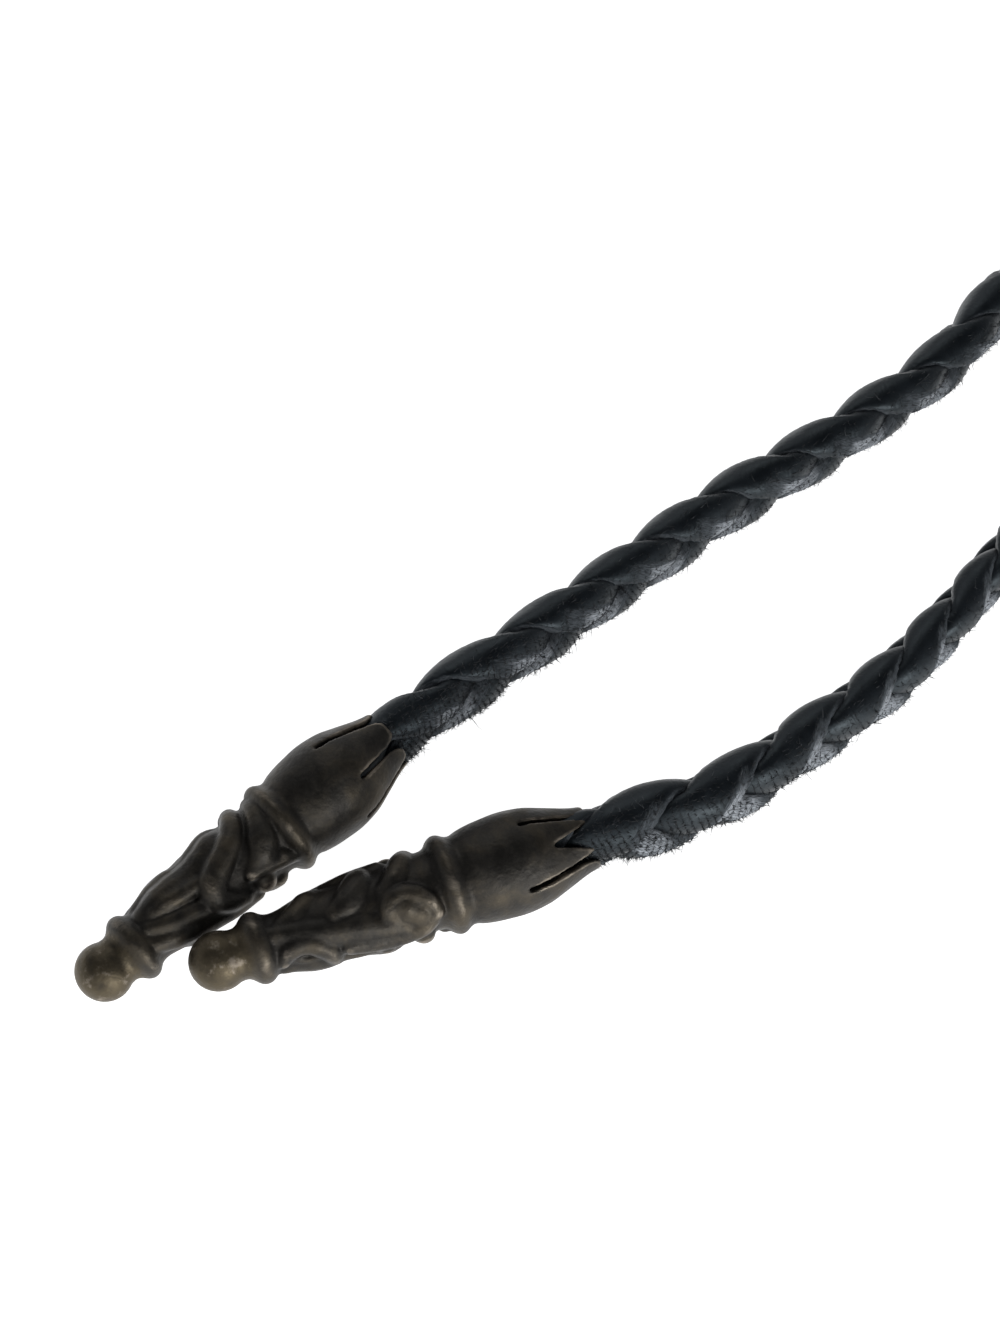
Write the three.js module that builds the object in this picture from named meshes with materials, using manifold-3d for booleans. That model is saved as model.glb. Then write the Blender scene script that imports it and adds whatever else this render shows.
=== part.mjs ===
// A braided leather necklace lying flat in a closed curve: one round cord with a cast silver cap on each
// end. Millimetres, +Z up. The surface that it lies on is z = 0, and the curve's middle is the origin.

import * as THREE from 'three';
import { mergeVertices } from 'three/addons/utils/BufferGeometryUtils.js';
import Module from 'manifold-3d';

const wasm = await Module();
wasm.setup();

// Driving dimensions.
const CORD_HALF = 2.45; // half the cord's width across its flats
const CORD_SIDES = 12;
const CORD_STEPS = 80;
const CORD_IN_CAP = 8; // how far the cord's end reaches into a cap

const CAP_LENGTH = 36.1;
const CAP_SEGMENTS = 24;
const BALL_RADIUS = 2.62;
const NECK_RADIUS = 2.27;
const COLLAR = { along: 6.0, radius: 3.25, half: 0.95 };
const STEM_RADIUS = 3.0;
const RING = { along: 23.0, radius: 4.48, half: 0.9 };
const SOCKET_RADIUS = 2.94;
const SOCKET_DEPTH = 8.8;
const PETALS = 6;
const SLOT_LENGTH = 5.6;
const SLOT_WIDTH = 0.5;

// Where each cap lies: the centre of its mouth, the way its mouth points, its rise towards the mouth, its
// roll about its own axis, and its length against the pattern's.
const UPPER_CAP = { mouth: [-24.55, -143.35, 5.0], heading: 79.0, rise: 2.6, roll: 22, stretch: 0.963 };
const LOWER_CAP = { mouth: [-4.75, -140.13, 4.49], heading: 57.4, rise: -0.9, roll: -153, stretch: 1.012 };

// The cord's centre line from one mouth to the other, up one tail, round the neck and down the other tail.
const ROUTE = [
  [-22.5, -135.0, 5.1],
  [-19.8, -124.1, 4.05],
  [-15.4, -105.1, 2.7],
  [-11.0, -91.6, CORD_HALF],
  [-7.8, -79.0, CORD_HALF],
  [-7.2, -66.0, CORD_HALF],
  [-6.6, -50.0, CORD_HALF],
  [-9.6, -32.0, CORD_HALF],
  [-22.0, -11.0, CORD_HALF],
  [-46.0, 13.0, CORD_HALF],
  [-72.0, 43.0, CORD_HALF],
  [-89.0, 80.0, CORD_HALF],
  [-87.0, 118.0, CORD_HALF],
  [-67.0, 149.0, CORD_HALF],
  [-36.0, 168.5, CORD_HALF],
  [0.0, 175.1, CORD_HALF],
  [36.0, 168.5, CORD_HALF],
  [67.0, 149.0, CORD_HALF],
  [87.0, 118.0, CORD_HALF],
  [89.0, 80.0, CORD_HALF],
  [72.0, 43.0, CORD_HALF],
  [46.0, 13.0, CORD_HALF],
  [22.0, -11.0, CORD_HALF],
  [10.0, -32.0, CORD_HALF],
  [7.0, -50.0, CORD_HALF],
  [8.2, -69.0, CORD_HALF],
  [8.8, -85.0, CORD_HALF],
  [8.4, -97.0, CORD_HALF],
  [7.4, -109.0, CORD_HALF],
  [4.9, -119.5, 3.0],
  [1.4, -130.5, 4.1],
];

// The stem's folds: strands of metal that lie on the stem. Each row is one place on a fold: how far along
// the cap from the ball's end, how far round (degrees, clockwise from the pattern's face as seen from the
// ball), the height of the fold's crest above the axis, and the fold's half width.
const FOLDS = {
  top_lobe: [
    [8.1, -42, 3.05, 1.2], [10.0, -47, 3.5, 1.7], [12.6, -49, 3.5, 1.8], [15.4, -54, 3.8, 1.8],
    [16.9, -62, 4.1, 1.5], [18.2, -70, 3.6, 0.9],
  ],
  top_back: [
    [8.4, -85, 3.0, 1.2], [10.8, -88, 3.55, 1.6], [13.4, -86, 3.35, 1.6], [15.4, -84, 3.8, 1.5],
    [16.9, -84, 4.1, 1.3], [18.2, -86, 3.6, 1.0],
  ],
  middle_fold: [
    [7.5, -16, 2.85, 0.8], [9.5, 9, 3.2, 1.2], [11.8, 28, 3.4, 1.3], [13.6, 42, 3.5, 1.2],
    [15.6, 60, 3.6, 1],
  ],
  low_fold: [
    [7.5, 26, 2.95, 0.9], [9.1, 38, 3.4, 1.2], [10.8, 50, 3.55, 1.4], [12.9, 62, 3.7, 1.4],
    [17.0, 82, 3.85, 1.1],
  ],
  first_wrap: [
    [19.9, -88, 4.3, 1.0], [19.5, -62, 4.3, 1.1], [18.4, -38, 4.25, 1.2], [16.9, -22, 4.2, 1.25],
    [15.3, -8, 4.1, 1.3], [14.3, 12, 4.05, 1.4], [14.5, 38, 4.0, 1.3], [16.3, 60, 3.85, 0.9],
  ],
  leaf_wrap: [
    [21.7, -72, 4.05, 0.9], [21.5, -40, 4.15, 1.2], [20.4, -2, 4.35, 1.6], [19.5, 15, 4.25, 1.4],
    [18.3, 25, 3.9, 0.9],
  ],
  eye_rim: [
    [7.6, 222, 3.05, 0.6], [8.4, 202, 3.3, 0.75], [9.8, 197, 3.45, 0.8], [11.3, 220, 3.65, 0.85],
    [12, 256, 3.6, 0.8],
  ],
  long_fold: [
    [7.2, 158, 2.9, 1.0], [9.3, 173, 3.2, 1.3], [11.7, 189, 3.45, 1.45], [15.1, 205, 3.8, 1.5],
    [18.0, 220, 3.95, 1.2], [19.8, 234, 4.0, 0.8],
  ],
  curled_band: [
    [13.4, 226, 3.8, 0.7], [15.9, 234, 4.05, 0.85], [18.0, 234, 4.2, 0.9], [19.8, 226, 4.25, 0.85],
    [21, 208, 4.15, 0.65],
  ],
  leaf_end: [[17.6, 178, 3.95, 1.2], [18.8, 189, 4.25, 1.6], [19.6, 203, 4.2, 1.4]],
  leaf_rim: [
    [17.5, 204, 3.95, 0.5], [17.2, 184, 4.05, 0.6], [18.0, 169, 4.2, 0.65], [19.5, 173, 4.3, 0.65],
    [21, 200, 4.2, 0.6],
  ],
  first_crest: [[8.4, 146, 2.9, 1.0], [9.8, 132, 3.25, 1.3], [10.9, 108, 3.45, 1.5], [11.7, 82, 3.35, 1.3]],
  second_crest: [
    [12.8, 162, 3.45, 1.1], [14.2, 146, 3.75, 1.5], [15.4, 118, 3.85, 1.7], [16.0, 90, 3.8, 1.6],
    [16.8, 70, 3.6, 1.2],
  ],
  third_crest: [
    [17.4, 152, 3.7, 0.9], [18.6, 136, 4.05, 1.1], [19.4, 112, 4.15, 1.15], [20.0, 86, 4.1, 1.1],
  ],
  back_fold: [[7.7, 258, 2.9, 0.9], [10.8, 268, 3.3, 1.2], [14.3, 262, 3.6, 1.3], [17.3, 268, 3.85, 1.1]],
};

// Round grains of metal, in the same columns.
const GRAINS = {
  wrap_knob: [18.6, 55, 4.3, 1.2],
  low_knob: [16.4, 252, 4.1, 0.95],
  ring_knob: [19.8, 256, 4.25, 1.0],
};

// The cup's outside from the groove behind it to its mouth: how far along the cap, and the radius.
const CUP_PROFILE = [
  [24.4, 3.95],
  [25.0, 4.18],
  [26.2, 4.4],
  [27.6, 4.54],
  [28.9, 4.6],
  [30.2, 4.48],
  [31.3, 4.28],
  [32.5, 3.95],
  [33.7, 3.62],
  [34.9, 3.38],
  [CAP_LENGTH, 3.25],
];

const leather = new THREE.MeshStandardMaterial({ color: 0x15191d, roughness: 0.5, metalness: 0 });
const silver = new THREE.MeshStandardMaterial({ color: 0x4b463e, roughness: 0.42, metalness: 0.9 });

const radians = THREE.MathUtils.degToRad;

// A closed geometry as a solid: its seams are merged and the triangles that this collapses are left out.
function solid(geometry) {
  geometry.deleteAttribute('normal');
  geometry.deleteAttribute('uv');
  const merged = mergeVertices(geometry, 1e-4);
  const corners = merged.index.array;
  const triangles = [];
  for (let i = 0; i < corners.length; i += 3) {
    const [a, b, c] = corners.slice(i, i + 3);
    if (a !== b && b !== c && c !== a) {
      triangles.push(a, b, c);
    }
  }
  const vertProperties = new Float32Array(merged.attributes.position.array);
  const triVerts = new Uint32Array(triangles);
  return new wasm.Manifold(new wasm.Mesh({ numProp: 3, vertProperties, triVerts }));
}

function geometryOf(manifold) {
  const { numProp, vertProperties, triVerts } = manifold.getMesh();
  const geometry = new THREE.BufferGeometry();
  const positions = new Float32Array((vertProperties.length / numProp) * 3);
  for (let i = 0; i < positions.length / 3; i++) {
    positions.set(vertProperties.subarray(i * numProp, i * numProp + 3), i * 3);
  }
  geometry.setAttribute('position', new THREE.BufferAttribute(positions, 3));
  geometry.setIndex(new THREE.BufferAttribute(new Uint32Array(triVerts), 1));
  geometry.computeVertexNormals();
  return geometry;
}

// A raised round band of a turned profile, as points from its foot to its crest and down again.
function band({ along, radius, half }, foot, steps) {
  const points = [];
  for (let i = 0; i <= steps; i++) {
    const angle = (Math.PI * i) / steps;
    const reach = foot + (radius - foot) * Math.sin(angle);
    points.push(new THREE.Vector2(reach, along - half * Math.cos(angle)));
  }
  return points;
}

// Ball, neck, collar, stem, ring and hollow cup, all turned about the cap's axis.
function turnedBody() {
  const profile = [new THREE.Vector2(0, 0)];
  const ballSteps = 7;
  const neckAngle = Math.PI - Math.asin(NECK_RADIUS / BALL_RADIUS);
  for (let i = 1; i <= ballSteps; i++) {
    const angle = (neckAngle * i) / ballSteps;
    profile.push(new THREE.Vector2(BALL_RADIUS * Math.sin(angle), BALL_RADIUS * (1 - Math.cos(angle))));
  }
  profile.push(...band(COLLAR, NECK_RADIUS + 0.1, 5));
  profile.push(new THREE.Vector2(STEM_RADIUS - 0.45, COLLAR.along + COLLAR.half + 0.7));
  profile.push(new THREE.Vector2(STEM_RADIUS, 11));
  profile.push(new THREE.Vector2(STEM_RADIUS + 0.45, RING.along - RING.half - 0.4));
  profile.push(...band(RING, STEM_RADIUS + 0.9, 5));
  for (const [along, radius] of CUP_PROFILE) {
    profile.push(new THREE.Vector2(radius, along));
  }
  profile.push(new THREE.Vector2(SOCKET_RADIUS, CAP_LENGTH));
  profile.push(new THREE.Vector2(SOCKET_RADIUS, CAP_LENGTH - SOCKET_DEPTH));
  profile.push(new THREE.Vector2(0, CAP_LENGTH - SOCKET_DEPTH));
  return solid(new THREE.LatheGeometry(profile, CAP_SEGMENTS));
}

// A point of the cap: how far along, how far round and how far out.
function onCap(along, round, reach) {
  return new THREE.Vector3(reach * Math.sin(radians(round)), along, reach * Math.cos(radians(round)));
}

// A fold is a round bar that follows its rows, sunk so that its crest is where they say.
function fold(rows) {
  const sides = 6;
  const steps = Math.round((rows.length - 1) * 1.4);
  const centres = rows.map(([along, round, crest, half]) => onCap(along, round, crest - half));
  const path = new THREE.CatmullRomCurve3(centres);
  const bar = new THREE.CylinderGeometry(1, 1, 1, sides, steps);
  const place = bar.attributes.position;
  for (let i = 0; i < place.count; i++) {
    const t = THREE.MathUtils.clamp(place.getY(i) + 0.5, 0, 1);
    const row = Math.min(Math.floor(t * (rows.length - 1)), rows.length - 2);
    const half = THREE.MathUtils.lerp(rows[row][3], rows[row + 1][3], t * (rows.length - 1) - row);
    const centre = path.getPoint(t);
    const forward = path.getTangent(t);
    const outward = new THREE.Vector3(centre.x, 0, centre.z).normalize();
    const sideways = new THREE.Vector3().crossVectors(forward, outward).normalize();
    outward.crossVectors(sideways, forward);
    centre.addScaledVector(sideways, place.getX(i) * half);
    centre.addScaledVector(outward, place.getZ(i) * half);
    place.setXYZ(i, centre.x, centre.y, centre.z);
  }
  return solid(bar);
}

function grain([along, round, crest, radius]) {
  const ball = new THREE.IcosahedronGeometry(radius, 1);
  const centre = onCap(along, round, crest - radius);
  return solid(ball.translate(centre.x, centre.y, centre.z));
}

// What is cut away between two petals: a slot with a round root, which opens out to round the tips.
function slot(round) {
  const root = CAP_LENGTH - SLOT_LENGTH;
  const outline = new THREE.Shape();
  outline.moveTo(-SLOT_WIDTH / 2, root);
  outline.quadraticCurveTo(0, root - SLOT_WIDTH, SLOT_WIDTH / 2, root);
  outline.lineTo(0.8 * SLOT_WIDTH, CAP_LENGTH - 1.6);
  outline.quadraticCurveTo(1.1 * SLOT_WIDTH, CAP_LENGTH - 0.4, 2.3 * SLOT_WIDTH, CAP_LENGTH + 0.1);
  outline.lineTo(-2.3 * SLOT_WIDTH, CAP_LENGTH + 0.1);
  outline.quadraticCurveTo(-1.1 * SLOT_WIDTH, CAP_LENGTH - 0.4, -0.8 * SLOT_WIDTH, CAP_LENGTH - 1.6);
  outline.closePath();
  const cutter = new THREE.ExtrudeGeometry(outline, { depth: 6, bevelEnabled: false, curveSegments: 4 });
  return solid(cutter.rotateY(radians(round)));
}

function capGeometry(stretch) {
  let cap = turnedBody();
  for (const rows of Object.values(FOLDS)) {
    cap = cap.add(fold(rows));
  }
  for (const row of Object.values(GRAINS)) {
    cap = cap.add(grain(row));
  }
  for (let i = 0; i < PETALS; i++) {
    cap = cap.subtract(slot((360 * i) / PETALS + 10));
  }
  return geometryOf(cap).translate(0, -CAP_LENGTH, 0).scale(1, stretch, 1);
}

function placeCap(name, { mouth, heading, rise, roll, stretch }) {
  const mesh = new THREE.Mesh(capGeometry(stretch), silver.clone());
  mesh.name = name;
  mesh.rotation.y = radians(roll);
  const seat = new THREE.Group();
  seat.position.set(...mouth);
  seat.rotation.set(radians(rise), 0, radians(heading - 90), 'ZYX');
  seat.add(mesh);
  return seat;
}

// A point on a cap's axis, a distance inside its mouth.
function insideCap({ mouth, heading, rise }, depth) {
  const axis = new THREE.Vector3(0, 1, 0);
  axis.applyEuler(new THREE.Euler(radians(rise), 0, radians(heading - 90), 'ZYX'));
  return new THREE.Vector3(...mouth).addScaledVector(axis, -depth);
}

// The cord's centre line. Its section keeps one side level, so that the cord lies on a flat side.
class LevelRoute extends THREE.CatmullRomCurve3 {
  getPoint(t, target) {
    const point = super.getPoint(t, target);
    point.z = Math.max(point.z, CORD_HALF);
    return point;
  }

  computeFrenetFrames(segments) {
    const frames = { tangents: [], normals: [], binormals: [] };
    for (let i = 0; i <= segments; i++) {
      const tangent = this.getTangentAt(i / segments);
      const binormal = new THREE.Vector3().crossVectors(tangent, new THREE.Vector3(0, 0, 1)).normalize();
      frames.tangents.push(tangent);
      frames.binormals.push(binormal);
      frames.normals.push(new THREE.Vector3().crossVectors(binormal, tangent));
    }
    return frames;
  }
}

function braidedCord() {
  const route = new LevelRoute([
    insideCap(UPPER_CAP, CORD_IN_CAP),
    insideCap(UPPER_CAP, 0),
    ...ROUTE.map((place) => new THREE.Vector3(...place)),
    insideCap(LOWER_CAP, 0),
    insideCap(LOWER_CAP, CORD_IN_CAP),
  ]);
  const corner = CORD_HALF / Math.cos(Math.PI / CORD_SIDES);
  const section = new THREE.Shape();
  for (let i = 0; i < CORD_SIDES; i++) {
    const angle = (2 * Math.PI * (i + 0.5)) / CORD_SIDES;
    section[i ? 'lineTo' : 'moveTo'](corner * Math.cos(angle), corner * Math.sin(angle));
  }
  section.closePath();
  const tube = new THREE.ExtrudeGeometry(section, { steps: CORD_STEPS, extrudePath: route });
  const mesh = new THREE.Mesh(tube, leather);
  mesh.name = 'braided_cord';
  return mesh;
}

const necklace = new THREE.Group();
necklace.add(braidedCord());
necklace.add(placeCap('end_cap_upper', UPPER_CAP));
necklace.add(placeCap('end_cap_lower', LOWER_CAP));

export default necklace;
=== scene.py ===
import math
from collections import namedtuple

import bpy
import numpy as np
from bpy.props import FloatProperty, FloatVectorProperty, IntProperty, PointerProperty
from mathutils import Matrix, Vector


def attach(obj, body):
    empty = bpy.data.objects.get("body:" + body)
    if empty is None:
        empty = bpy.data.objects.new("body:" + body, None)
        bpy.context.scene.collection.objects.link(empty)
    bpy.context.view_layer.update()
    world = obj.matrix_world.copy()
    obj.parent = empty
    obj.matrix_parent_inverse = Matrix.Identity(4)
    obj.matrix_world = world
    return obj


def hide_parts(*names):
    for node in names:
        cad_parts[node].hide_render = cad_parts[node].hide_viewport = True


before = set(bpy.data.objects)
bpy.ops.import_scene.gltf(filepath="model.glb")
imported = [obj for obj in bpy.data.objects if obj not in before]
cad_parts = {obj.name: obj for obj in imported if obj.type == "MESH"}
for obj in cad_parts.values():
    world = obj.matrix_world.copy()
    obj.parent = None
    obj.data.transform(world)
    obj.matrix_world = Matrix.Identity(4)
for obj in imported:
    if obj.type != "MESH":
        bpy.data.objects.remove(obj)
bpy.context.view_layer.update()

bl_info = {
    "name": "Braided Leather Necklace",
    "version": (1, 0, 0),
    "blender": (4, 5, 0),
    "location": "3D View > Sidebar > Necklace",
    "description": "Three plaited leather laces with a cast silver cap on each end, lying on a white table",
    "category": "Object",
}

MM = 0.001

# The cord, in metres: half its thickness, and how much of it stands in each cap.
CORD_HALF = 0.00245
CORD_IN_CAP = 0.008

# The cord's centre line in metres between the two caps, past the back of the neck.
ROUTE = [
    (-0.0225, -0.1350, 0.0051),
    (-0.0198, -0.1241, 0.00405),
    (-0.0154, -0.1051, 0.0027),
    (-0.0110, -0.0916, CORD_HALF),
    (-0.0078, -0.0790, CORD_HALF),
    (-0.0072, -0.0660, CORD_HALF),
    (-0.0066, -0.0500, CORD_HALF),
    (-0.0096, -0.0320, CORD_HALF),
    (-0.0220, -0.0110, CORD_HALF),
    (-0.0460, 0.0130, CORD_HALF),
    (-0.0720, 0.0430, CORD_HALF),
    (-0.0890, 0.0800, CORD_HALF),
    (-0.0870, 0.1180, CORD_HALF),
    (-0.0670, 0.1490, CORD_HALF),
    (-0.0360, 0.1685, CORD_HALF),
    (0.0000, 0.1751, CORD_HALF),
    (0.0360, 0.1685, CORD_HALF),
    (0.0670, 0.1490, CORD_HALF),
    (0.0870, 0.1180, CORD_HALF),
    (0.0890, 0.0800, CORD_HALF),
    (0.0720, 0.0430, CORD_HALF),
    (0.0460, 0.0130, CORD_HALF),
    (0.0220, -0.0110, CORD_HALF),
    (0.0100, -0.0320, CORD_HALF),
    (0.0070, -0.0500, CORD_HALF),
    (0.0082, -0.0690, CORD_HALF),
    (0.0088, -0.0850, CORD_HALF),
    (0.0084, -0.0970, CORD_HALF),
    (0.0074, -0.1090, CORD_HALF),
    (0.0049, -0.1195, 0.0030),
    (0.0014, -0.1305, 0.0041),
]

# How far it is from one lobe of the plait to the next: millimetres from a cap's mouth, and the spacing.
# It is kept within LOBES_KEPT metres of each end, and the rest of the cord takes up what is left over.
UPPER_LOBES = [(0, 9.3), (13, 9.0), (21, 8.2), (27, 7.8), (40, 8.2)]
LOWER_LOBES = [(0, 8.6), (15, 8.6), (20, 9.0), (25, 8.8), (33, 7.1), (45, 6.9)]
LOBES_KEPT = 0.2
# The girth of the plait against its usual one: millimetres from the lower cap's mouth, and the share.
LOWER_GIRTH = [
    (0, 1.2), (5, 1.2), (10, 1.12), (20, 1.06), (30, 1.0), (37, 0.93), (45, 0.88), (52, 0.92),
    (60, 1.0),
]
# How far it is between the rows of a lace's mesh, in metres, and how many rows each step along the
# cord's centre line takes.
ROW_STEP = 0.00045
PATH_ROWS = 20
# How strong the painted highlights on the laces are: metres from the cord's end, and the share.
# They are held down near the caps' mouths as painted shade.
HIGHLIGHT_ALONG = [(0.009, 0.3), (0.013, 1.6), (0.1, 1.6), (0.14, 0.8)]
# How far laces and hairs stay above the table, in metres.
LACE_LIFT = 0.00002
HAIR_LIFT = 0.00003
# How many corners a hair has, and how far the grain shifts from lace to lace, in millimetres.
HAIR_CORNERS = 7
PATTERN_SHIFT = 13.7

# Where each cap lies: its mouth's centre in metres, then in degrees the way that the mouth points, its rise
# towards the mouth and its roll about its own axis, and its length against the pattern's.
UPPER_CAP = {
    "mouth": (-0.02455, -0.14335, 0.0050), "heading": 79.0, "rise": 2.6, "roll": 22, "stretch": 0.963,
}
LOWER_CAP = {
    "mouth": (-0.00475, -0.14013, 0.00449), "heading": 57.4, "rise": -0.9, "roll": -153, "stretch": 1.012,
}

# The cap's pattern, in millimetres. The ball's finish ends a little past the ball. The turned body: how far
# along from the ball's end, and the radius.
CAP_LENGTH = 36.1
BALL_RADIUS = 2.62
BALL_FINISH_END = 5.4
BODY_PROFILE = [
    (3.0, 1.95), (4.0, 2.3), (4.5, 2.27), (4.9, 2.5), (5.4, 3.0), (6.0, 3.22), (6.6, 3.05),
    (7.1, 2.65), (7.7, 2.5), (8.6, 2.6), (9.8, 2.85), (11.8, 3.0), (15.8, 3.15), (19.8, 3.4),
    (21.2, 3.5), (22.0, 3.7), (22.3, 4.1), (22.6, 4.34), (23.0, 4.46), (23.4, 4.38), (23.8, 4.1),
    (24.3, 3.95), (24.9, 4.15), (26.0, 4.38), (27.4, 4.52), (28.9, 4.6), (30.2, 4.48), (31.2, 4.3),
    (32.4, 3.9), (33.5, 3.52), (34.4, 3.2), (35.3, 2.94), (36.1, 2.8),
]
SOCKET_PROFILE = [(36.1, 2.45), (35.4, 2.5), (34.0, 2.75), (31.8, 3.3), (28.8, 3.3), (27.3, 2.4)]

# The stem's folds. Each row is one place on a fold: along the cap, round it in degrees from the pattern's
# face, the fold's crest above the axis, and its half width.
FOLDS = {
    "top_lobe": [
        (8.1, -42, 3.05, 1.2), (10.0, -47, 3.5, 1.7), (11.6, -48, 3.55, 1.8), (13.6, -49, 3.45, 1.8),
        (15.4, -54, 3.8, 1.8), (16.9, -62, 4.1, 1.5), (18.2, -70, 3.6, 0.9),
    ],
    "top_back": [
        (8.4, -85, 3.0, 1.2), (10.2, -88, 3.5, 1.6), (11.6, -88, 3.6, 1.6), (13.4, -86, 3.35, 1.6),
        (15.4, -84, 3.8, 1.5), (16.9, -84, 4.1, 1.3), (18.2, -86, 3.6, 1.0),
    ],
    "pale_ridge": [
        (8.9, -29, 3.2, 0.75), (10.6, -25, 3.5, 0.94), (12.4, -20, 3.5, 0.94), (13.8, -16, 3.4, 0.75),
    ],
    "middle_fold": [
        (7.5, -16, 2.85, 0.8), (9.5, 9, 3.2, 1.2), (11.8, 28, 3.4, 1.3), (13.6, 42, 3.5, 1.2),
        (15.6, 60, 3.6, 1.0),
    ],
    "low_fold": [
        (7.5, 26, 2.95, 0.9), (9.1, 38, 3.4, 1.2), (10.8, 50, 3.55, 1.4), (12.9, 62, 3.7, 1.4),
        (15.0, 74, 3.85, 1.3), (17.6, 84, 3.85, 1.0),
    ],
    "first_wrap": [
        (19.9, -88, 4.3, 1.0), (19.5, -62, 4.3, 1.1), (18.4, -38, 4.25, 1.2), (16.9, -22, 4.2, 1.25),
        (15.3, -8, 4.1, 1.3), (14.3, 8, 4.05, 1.4), (14.2, 26, 4.0, 1.4), (14.9, 44, 4.0, 1.2),
        (16.3, 60, 3.85, 0.9),
    ],
    "leaf_wrap": [
        (21.9, -80, 4.0, 0.8), (21.7, -52, 4.1, 1.0), (21.2, -25, 4.2, 1.4), (20.4, -2, 4.35, 1.6),
        (19.5, 15, 4.25, 1.4), (18.3, 25, 3.9, 0.9),
    ],
    "leaf_edge": [
        (17.8, 27, 3.95, 0.7), (19.3, 31, 4.2, 0.91), (20.8, 38, 4.25, 0.98), (22.0, 47, 4.1, 0.84),
    ],
    "eye_rim": [
        (7.6, 222, 3.05, 0.75), (8.4, 202, 3.3, 0.94), (9.8, 197, 3.45, 1.0), (10.9, 211, 3.6, 1.06),
        (11.7, 232, 3.65, 1.0), (12.0, 256, 3.6, 1.0),
    ],
    "long_fold": [
        (7.2, 158, 2.9, 1.0), (9.3, 173, 3.2, 1.3), (11.7, 189, 3.45, 1.45), (15.1, 205, 3.8, 1.5),
        (18.0, 220, 3.95, 1.2), (19.8, 234, 4.0, 0.8),
    ],
    "curled_band": [
        (13.4, 226, 3.8, 0.91), (15.9, 234, 4.05, 1.1), (18.0, 234, 4.2, 1.17), (19.8, 226, 4.25, 1.1),
        (21.0, 208, 4.15, 0.85),
    ],
    "leaf_end": [
        (17.6, 178, 3.95, 1.2), (18.8, 189, 4.25, 1.6), (19.6, 203, 4.2, 1.4),
    ],
    "leaf_rim": [
        (17.5, 204, 3.85, 0.75), (17.2, 184, 3.95, 0.9), (18.0, 169, 4.1, 0.98),
        (19.5, 173, 4.2, 0.98), (20.6, 188, 4.2, 0.98), (21.0, 205, 4.1, 0.9),
    ],
    "first_crest": [
        (8.4, 146, 2.9, 1.0), (9.8, 132, 3.25, 1.3), (10.9, 108, 3.45, 1.5), (11.7, 82, 3.35, 1.3),
    ],
    "second_crest": [
        (12.8, 162, 3.45, 1.1), (14.2, 146, 3.75, 1.5), (15.4, 118, 3.85, 1.7), (16.0, 90, 3.8, 1.6),
        (16.8, 70, 3.6, 1.2),
    ],
    "third_crest": [
        (17.4, 152, 3.7, 0.9), (18.6, 136, 4.05, 1.1), (19.4, 112, 4.15, 1.15), (20.0, 86, 4.1, 1.1),
    ],
    "back_fold": [
        (7.7, 258, 2.9, 0.9), (10.8, 268, 3.3, 1.2), (14.3, 262, 3.6, 1.3), (17.3, 268, 3.85, 1.1),
    ],
}

# Small round grains on the stem, in the same columns.
GRAINS = {
    "wrap_knob": (18.6, 55, 4.3, 1.2),
    "collar_grain": (6.1, 182, 3.25, 0.45),
    "low_knob": (16.4, 252, 4.1, 0.95),
    "ring_knob": (19.8, 256, 4.25, 1.0),
}

# Hollows pressed into the stem: along, round, the middle's height above the axis, half length, half width.
HOLLOWS = {
    "eye": (9.8, 222, 3.0, 1.3, 0.65),
    "wedge": (11.2, -2, 2.9, 2.2, 0.6),
}
HOLLOW_HALF_DEPTH = 0.7

# The slots between the cup's petals: round, where the root is, and the width near the mouth. Each is cut
# through the wall from a narrow root, by way of a neck just past it: how far, and how wide. It flares past
# the mouth to round the petals' tips: how far past, and how much wider.
SLOTS = [
    (15, 30.8, 0.5), (-50, 29.5, 0.6), (67, 29.5, 0.5), (133, 29.8, 0.35), (172, 32.2, 1.7),
    (213, 29.0, 0.6),
]
SLOT_ROOT_WIDTH = 0.3
SLOT_NECK = (0.3, 0.45)
SLOT_THROUGH = 4.0
WALL_MIDDLE = 3.6
SLOT_FLARE = [(-1.3, 0.0), (-0.5, 0.4), (0.1, 1.3), (0.8, 2.6)]

# The stage: where the camera looks, in metres, and from where, in degrees; the table's size; and the
# lights, each with its place, its size and its power against the key's.
LOOK_AT = (-0.0226, -0.1295, 0.0)
ELEVATION = 62
AZIMUTH = 37
TABLE_SIZE = 40.0
LIGHTS = {
    "key": ((0.50, -0.30, 0.14), 0.26, 1.0),
    "front": ((0.25, -0.50, 0.30), 0.40, 0.4),
    "back": ((-0.35, 0.15, 0.45), 0.35, 0.3),
}

# A cap with more triangles than this stops the build with an error.
MOST_TRIANGLES = 200000


def clear_selection():
    if bpy.context.mode != "OBJECT":
        bpy.ops.object.mode_set(mode="OBJECT")
    bpy.ops.object.select_all(action="DESELECT")


def pick(*objects):
    """Selects these objects alone and makes the first the active one."""
    clear_selection()
    for obj in objects:
        obj.select_set(True)
    bpy.context.view_layer.objects.active = objects[0]


def modify(obj, kind, **settings):
    """Adds a modifier, sets it and applies it."""
    pick(obj)
    bpy.ops.object.modifier_add(type=kind)
    modifier = obj.modifiers[-1]
    for name, value in settings.items():
        setattr(modifier, name, value)
    bpy.ops.object.modifier_apply(modifier=modifier.name)


def add(name, data):
    """Puts a new object in the scene."""
    made = bpy.data.objects.new(name, data)
    bpy.context.scene.collection.objects.link(made)
    return made


def add_mesh(name, places, faces):
    """Puts a new piece in the scene, made of these places and faces."""
    mesh = bpy.data.meshes.new(name)
    mesh.from_pydata(places.tolist(), [], faces)
    return add(name, mesh)


def read(items, name, width, kind=float):
    """One property of a mesh's vertices, edges or corners, in rows of this width."""
    values = np.empty(len(items) * width, kind)
    items.foreach_get(name, values)
    return values.reshape(-1, width)


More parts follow.
